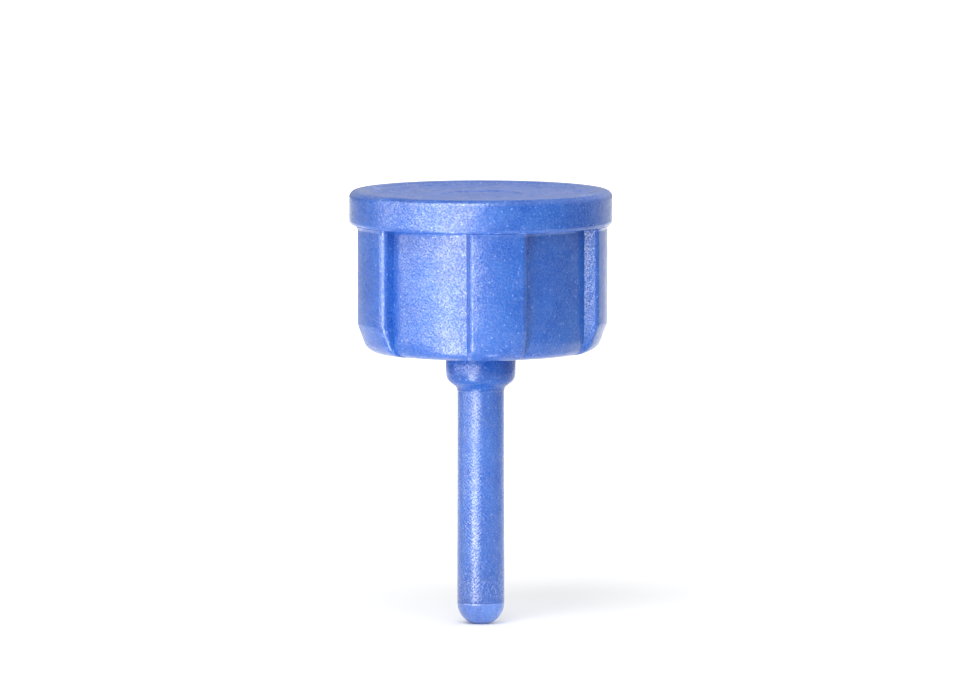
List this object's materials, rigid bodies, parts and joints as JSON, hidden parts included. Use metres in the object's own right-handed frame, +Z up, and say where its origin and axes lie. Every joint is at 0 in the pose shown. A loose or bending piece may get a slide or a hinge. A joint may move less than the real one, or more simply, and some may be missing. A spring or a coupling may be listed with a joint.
{
  "type": "drip emitter",
  "caption": "Adjustable drip emitter with a wide smooth rim, ribbed turning grip, short collar and a long round push-in stem with a rounded nose.",
  "frame": {"origin": "lowest point of the stem's nose, on the axis", "axes": "+Z up the stem towards the lid; one grip rib is centred on -Y at rest"},
  "size_m": [0.0334, 0.0334, 0.0553],
  "materials": {
    "blue_plastic": "satin mid-blue moulded plastic with a fine speckled grain",
    "white_plastic": "natural acetal",
    "dark_plastic": "matt black moulded plastic",
    "slip_plastic": "slippery white sheet",
    "nitrile": "black rubber",
    "silicone": "red-brown silicone",
    "brass": "turned",
    "stainless": "turned or drawn"
  },
  "bodies": {
    "base": {"stem_tube": "blue_plastic", "stem_tip": "blue_plastic", "stem_collar": "blue_plastic", "collar_oring": "nitrile", "filter_frame": "dark_plastic", "filter_screen": "stainless", "hub_body": "white_plastic", "hub_cap": "white_plastic", "hub_oring": "nitrile", "thrust_washer": "slip_plastic", "labyrinth_disc": "dark_plastic", "diaphragm_ring": "dark_plastic", "metering_seat": "brass", "needle_oring": "nitrile", "gland_washer": "stainless", "check_seat": "dark_plastic", "check_spring": "stainless"},
    "grip": {"grip_shell": "blue_plastic", "lid": "blue_plastic", "lid_oring": "nitrile"},
    "needle": {"flow_needle": "stainless"},
    "poppet": {"check_poppet": "white_plastic"},
    "flexing_ring": {"diaphragm": "silicone"}
  },
  "joints": [
    {"name": "grip_turn", "type": "hinge", "parent": "base", "child": "grip", "pos_m": [0, 0, 0.0355], "axis": [0, 0, 1], "range_deg": [0, 310]},
    {"name": "needle_rise", "type": "slide", "parent": "grip", "child": "needle", "axis": [0, 0, 1], "range_m": [0, 0.00104]},
    {"name": "anti_drain_lift", "type": "slide", "parent": "base", "child": "poppet", "axis": [0, 0, 1], "range_m": [0, 0.0008], "stiffness_N_per_m": 60, "springref_m": -0.0008, "deforming": ["check_spring"]},
    {"name": "diaphragm_lift", "type": "slide", "parent": "base", "child": "flexing_ring", "axis": [0, 0, 1], "range_m": [0, 0.00035]}
  ],
  "couplings": [
    {"joint": "needle_rise", "follows": "grip_turn", "m_per_rad": 0.00019099}
  ]
}
